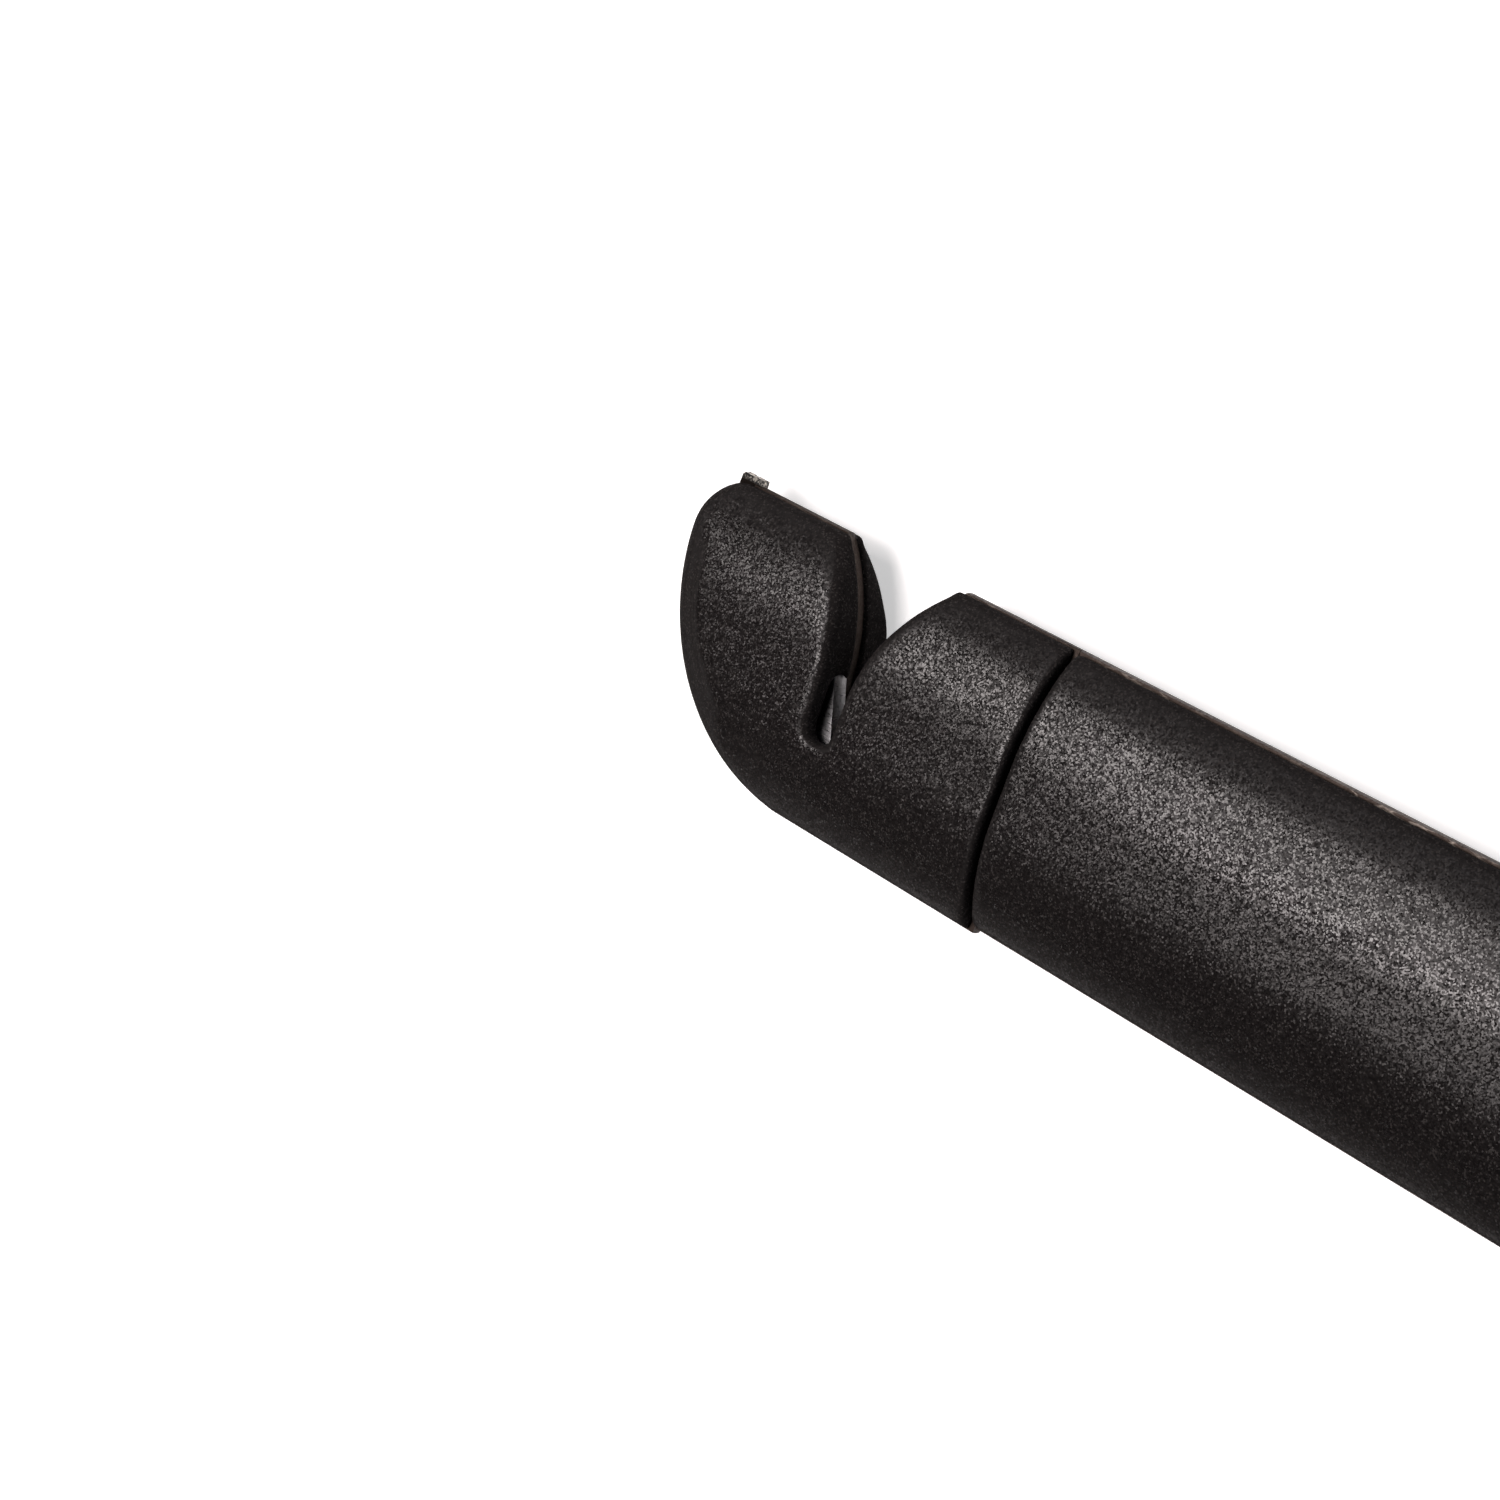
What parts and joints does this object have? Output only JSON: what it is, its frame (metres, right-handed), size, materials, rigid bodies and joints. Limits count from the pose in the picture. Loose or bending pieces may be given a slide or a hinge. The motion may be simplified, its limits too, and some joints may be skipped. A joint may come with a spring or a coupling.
{
  "type": "notch knife sharpener",
  "caption": "Flat oval hand-held knife sharpener: a black grip and a plug-in head whose funnel notch guides a blade onto crossed hardened sharpening steels.",
  "frame": {"origin": "under the middle of the tool's box, on the plane its back lies on", "axes": "+X along the tool from the tip to the butt, +Y the way the notch opens, +Z out of the front face"},
  "size_m": [0.1716, 0.0318, 0.0108],
  "materials": {
    "shell_plastic": "fine spark-eroded grain",
    "plate_steel": "browned, scuffed along the edge",
    "hardened_steel": "ground",
    "plated_steel": "zinc plated"
  },
  "bodies": {
    "grip": {"grip_shell_front": "shell_plastic", "grip_shell_back": "shell_plastic", "grip_frame": "plate_steel", "leaf_spring": "plated_steel", "grip_screws": "plated_steel", "hanging_eye": "plated_steel"},
    "head": {"head_shell_front": "shell_plastic", "head_shell_back": "shell_plastic", "head_frame": "plate_steel", "steel_left": "hardened_steel", "steel_right": "hardened_steel", "steel_pins": "plated_steel", "head_screws": "plated_steel"}
  },
  "joints": [
    {"name": "head_pull", "type": "slide", "parent": "grip", "child": "head", "axis": [-1, 0, 0], "range_m": [0, 0.03]}
  ]
}
